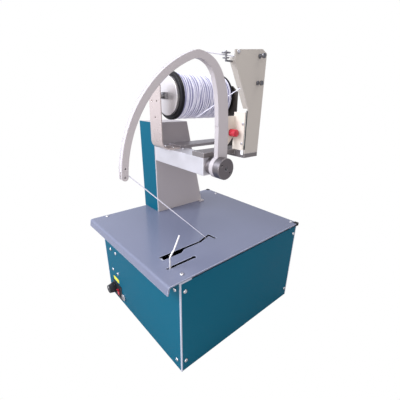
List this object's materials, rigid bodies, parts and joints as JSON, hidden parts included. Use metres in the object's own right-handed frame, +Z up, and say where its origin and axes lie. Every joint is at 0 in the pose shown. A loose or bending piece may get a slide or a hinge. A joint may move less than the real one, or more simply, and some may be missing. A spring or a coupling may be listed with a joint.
{
  "type": "thread tying machine",
  "caption": "Desktop thread tying machine: cabinet with slotted work table, column and beam carrying a swinging bow-shaped needle arm, thread spool and guides on top.",
  "frame": {"origin": "centre of the flat face the cabinet stands on", "axes": "+Z up; -Y is the operator's side; +X is the operator's right, where the needle arm is"},
  "size_m": [0.399, 0.4819, 0.687],
  "materials": {
    "zinc_steel": "plain sheet",
    "frame_steel": "smooth light grey",
    "teal_paint": "fine texture enamel",
    "screw_steel": "polished",
    "table_paint": "smooth satin enamel",
    "column_grey": "satin enamel",
    "beam_aluminium": "fine ground",
    "bright_strip": "bright rolled",
    "dark_steel": "dark coated",
    "grey_steel": "satin grey",
    "cream_paint": "smooth",
    "spring_steel": "drawn wire",
    "black_plastic": "fine satin",
    "motor_iron": "painted casting",
    "bearing_steel": "machined",
    "belt_rubber": "matte",
    "board_green": "solder mask",
    "thread_white": "twisted elastic thread",
    "arm_steel": "satin grey",
    "shaft_steel": "turned",
    "pulley_aluminium": "turned",
    "eyelet_ceramic": "glazed",
    "red_plastic": "glossy",
    "disc_aluminium": "turned"
  },
  "bodies": {
    "frame": {"base_plate": "zinc_steel", "cabinet_frame": "frame_steel", "front_panel": "teal_paint", "side_panels": "teal_paint", "back_panel": "teal_paint", "panel_screws": "screw_steel", "table_plate": "table_paint", "column_cover": "column_grey", "column_side_plate": "column_grey", "column_front_cover": "teal_paint", "beam_housing": "beam_aluminium", "guide_carrier": "beam_aluminium", "spool_bracket": "bright_strip", "spool_rear_plate": "dark_steel", "spool_axle": "screw_steel", "spool_bar": "beam_aluminium", "guide_plate": "grey_steel", "tension_bracket": "cream_paint", "bracket_screws": "screw_steel", "thread_guides": "dark_steel", "tension_discs": "screw_steel", "springs": "spring_steel", "control_plate": "black_plastic", "pedal_socket": "screw_steel", "gear_motor": "motor_iron", "bearings": "bearing_steel", "arm_belt": "belt_rubber", "knotter_belt": "belt_rubber", "knotter_bracket": "bearing_steel", "control_board": "board_green", "power_inlet": "black_plastic", "trigger_block": "bearing_steel", "trigger_switch": "black_plastic", "supply_thread": "thread_white", "bridge_thread": "thread_white"},
    "arm": {"swing_arm": "arm_steel", "arm_hub": "shaft_steel", "hub_disc": "shaft_steel", "arm_shaft": "shaft_steel", "upper_pulley": "pulley_aluminium", "arm_eyelets": "eyelet_ceramic", "arm_thread": "thread_white", "tie_thread": "thread_white"},
    "rocker": {"lower_pulley": "pulley_aluminium", "rocker_lever": "bearing_steel"},
    "rod": {"connecting_rod": "bearing_steel"},
    "drive": {"main_shaft": "shaft_steel", "crank_disc": "bearing_steel", "drive_pulley": "pulley_aluminium"},
    "knotter": {"knotter_bill": "shaft_steel", "knotter_pulley": "pulley_aluminium"},
    "cutter": {"cutter_lever": "shaft_steel"},
    "trigger": {"trigger_wire": "spring_steel"},
    "knob": {"speed_knob": "black_plastic"},
    "switch": {"power_rocker": "red_plastic"},
    "spool": {"spool_bobbin": "black_plastic", "thread_winding": "thread_white", "spool_disc": "disc_aluminium"},
    "tension": {"tension_knob": "red_plastic"}
  },
  "joints": [
    {"name": "arm_swing", "type": "hinge", "parent": "frame", "child": "arm", "pos_m": [0.1055, -0.033, 0.441], "axis": [1, 0, 0], "range_deg": [0, 110], "deforming": ["tie_thread", "bridge_thread"]},
    {"name": "rocker_turn", "type": "hinge", "parent": "frame", "child": "rocker", "pos_m": [-0.15, -0.005, 0.12], "axis": [1, 0, 0], "range_deg": [0, 55]},
    {"name": "rod_swing", "type": "hinge", "parent": "rocker", "child": "rod", "pos_m": [-0.12175, -0.0327, 0.06678], "axis": [1, 0, 0], "range_deg": [-55, 0]},
    {"name": "drive_turn", "type": "hinge", "parent": "frame", "child": "drive", "pos_m": [0, 0.09, 0.06678], "axis": [1, 0, 0], "continuous": true},
    {"name": "knotter_turn", "type": "hinge", "parent": "frame", "child": "knotter", "pos_m": [0.07, -0.041, 0.236], "axis": [1, 0, 0], "continuous": true},
    {"name": "cutter_swing", "type": "hinge", "parent": "frame", "child": "cutter", "pos_m": [0.0925, -0.015, 0.234], "axis": [1, 0, 0], "range_deg": [-10, 10]},
    {"name": "trigger_push", "type": "hinge", "parent": "frame", "child": "trigger", "pos_m": [0.1455, -0.2, 0.19], "axis": [-1, 0, 0], "range_deg": [0, 28], "stiffness_Nm_per_rad": 0.12, "springref_deg": -6.88},
    {"name": "knob_turn", "type": "hinge", "parent": "frame", "child": "knob", "pos_m": [-0.158, -0.22, 0.031], "axis": [0, -1, 0], "range_deg": [0, 300]},
    {"name": "switch_rock", "type": "hinge", "parent": "frame", "child": "switch", "pos_m": [-0.1285, -0.207, 0.031], "axis": [1, 0, 0], "range_deg": [-14, 0]},
    {"name": "spool_turn", "type": "hinge", "parent": "frame", "child": "spool", "pos_m": [-0.07, 0.04, 0.589], "axis": [0, 1, 0], "continuous": true},
    {"name": "tension_turn", "type": "hinge", "parent": "frame", "child": "tension", "pos_m": [0.09, 0.03, 0.5115], "axis": [1, 0, 0], "range_deg": [-180, 180]}
  ],
  "couplings": [
    {"joint": "rocker_turn", "follows": "arm_swing", "ratio": 0.5},
    {"joint": "rod_swing", "follows": "arm_swing", "ratio": -0.5},
    {"joint": "knotter_turn", "follows": "drive_turn", "ratio": 3}
  ]
}
